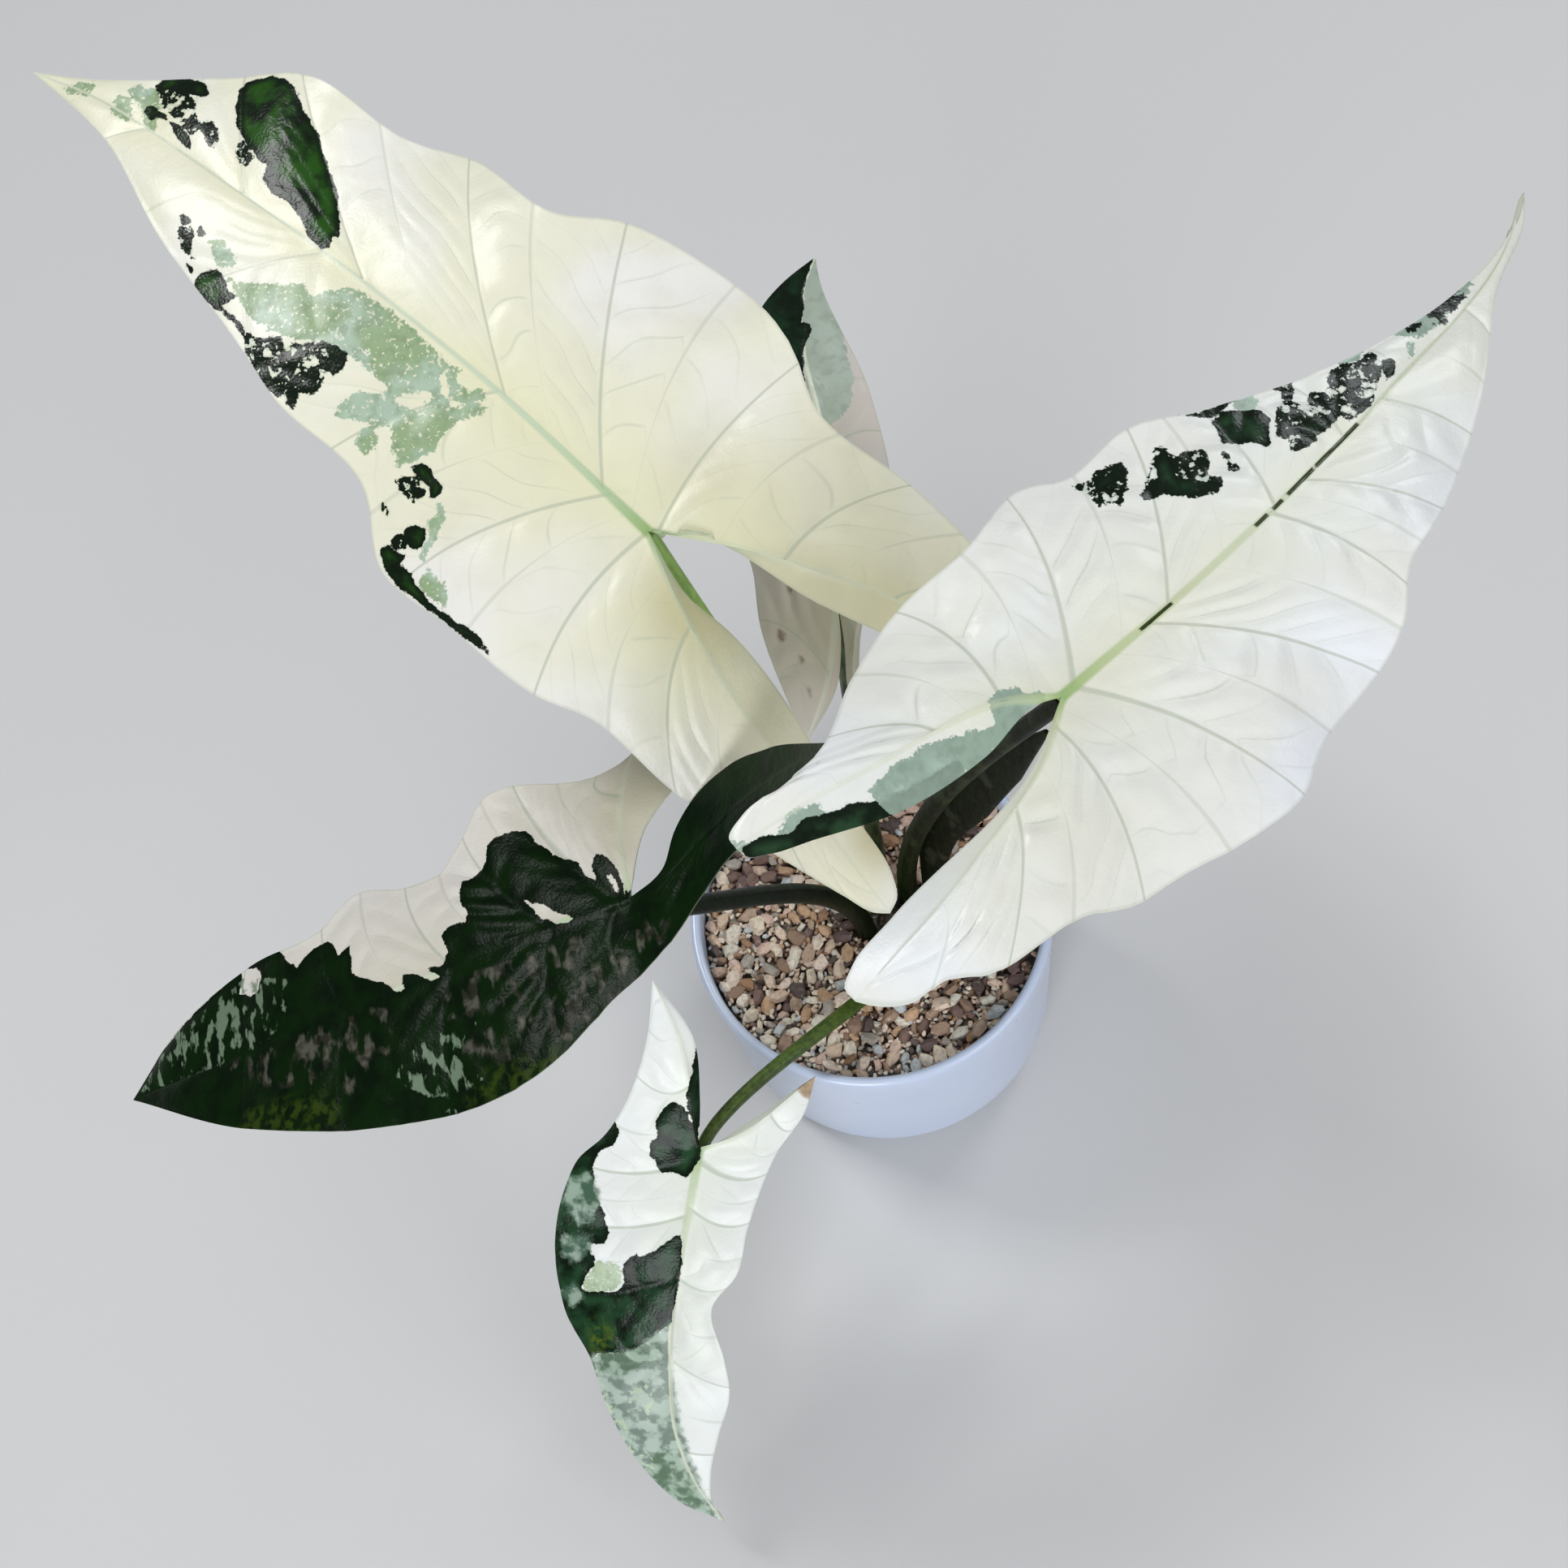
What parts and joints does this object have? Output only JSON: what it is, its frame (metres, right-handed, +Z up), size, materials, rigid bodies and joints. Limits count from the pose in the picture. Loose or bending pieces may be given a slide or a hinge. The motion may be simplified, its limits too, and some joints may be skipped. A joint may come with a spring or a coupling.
{
  "type": "potted alocasia",
  "caption": "Variegated alocasia with arrow-shaped, wavy leaf blades on arching stalks, standing in a round white pot filled with gravel.",
  "frame": {"origin": "centre of the pot's foot, on the surface that it stands on", "axes": "+Z up along the pot's axis; -Y is the front, towards the viewer of the picture; +X to the viewer's right"},
  "size_m": [0.4575, 0.4036, 0.3611],
  "materials": {
    "pot": "satin",
    "gravel": "matte",
    "bark": "matte",
    "variegated_leaf": "satin",
    "dark_leaf": "satin",
    "green_stalk": "satin",
    "dark_stalk": "satin"
  },
  "bodies": {
    "root": {"blade_back": "variegated_leaf", "blade_front": "variegated_leaf", "blade_lower_left": "dark_leaf", "blade_right": "variegated_leaf", "blade_upper_left": "variegated_leaf", "corm": "bark", "gravel_bed": "gravel", "leaf_sheath": "dark_stalk", "pot": "pot", "stalk_back": "dark_stalk", "stalk_front": "green_stalk", "stalk_lower_left": "dark_stalk", "stalk_right": "dark_stalk", "stalk_upper_left": "green_stalk"}
  },
  "joints": []
}
